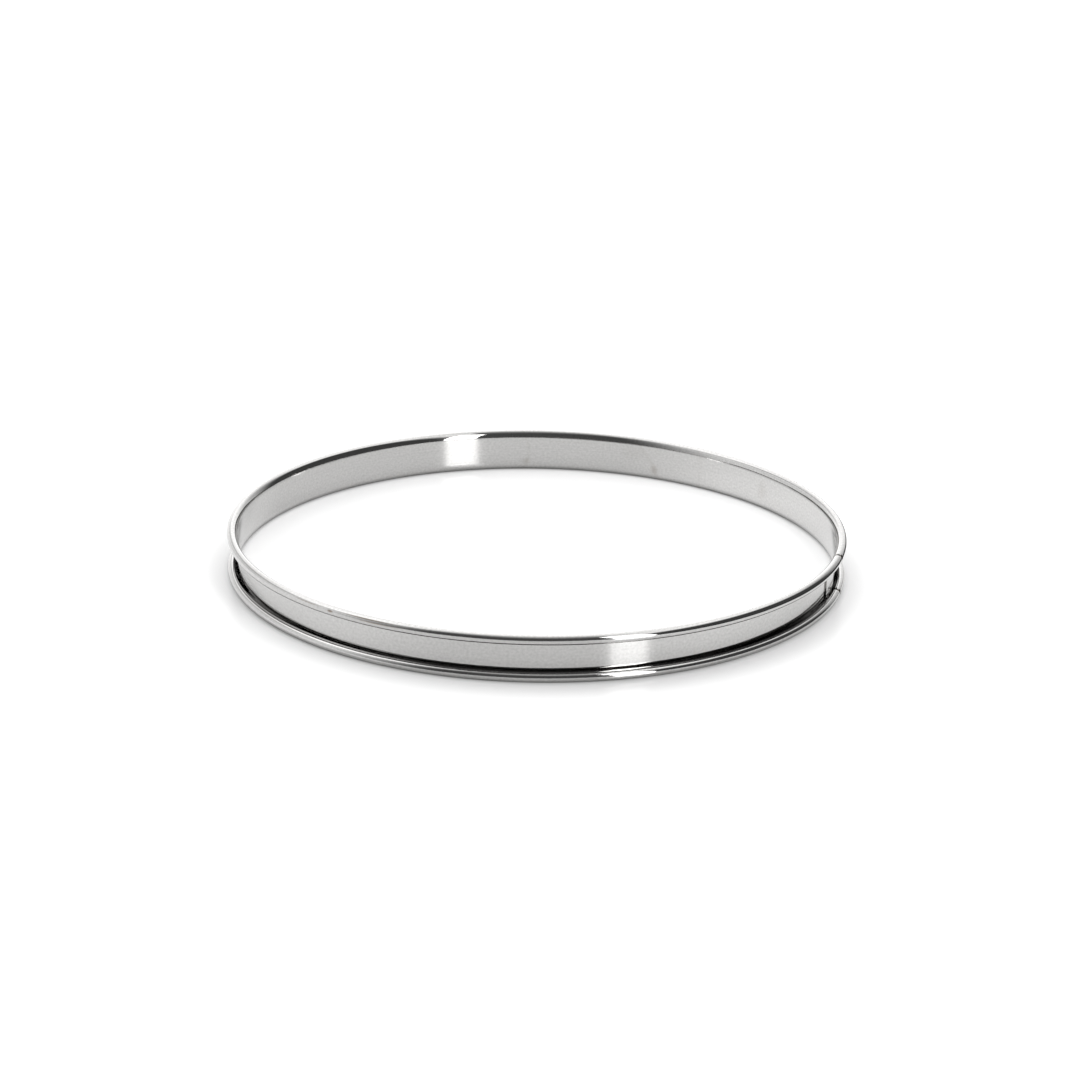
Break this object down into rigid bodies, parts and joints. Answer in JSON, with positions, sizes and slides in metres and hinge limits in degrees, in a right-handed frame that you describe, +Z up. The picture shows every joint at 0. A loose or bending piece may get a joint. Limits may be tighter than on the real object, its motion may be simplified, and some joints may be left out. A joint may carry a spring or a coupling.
{
  "type": "tart ring",
  "caption": "Low open baking ring of thin stainless sheet, with a straight wall, hollow edges rolled outward above and below, and a lapped seam.",
  "frame": {"origin": "on the ring's axis, in the plane that the lower rolled edge rests on", "axes": "+Z up along the ring's axis, -Y towards the viewer of the picture, +X to the viewer's right; the seam lies 16 degrees from +X towards -Y"},
  "size_m": [0.28, 0.28, 0.0204],
  "materials": {
    "stainless_sheet": "rolled sheet with a fine grain along the strip, satin to semi-bright"
  },
  "bodies": {
    "root": {"tart_ring": "stainless_sheet"}
  },
  "joints": []
}
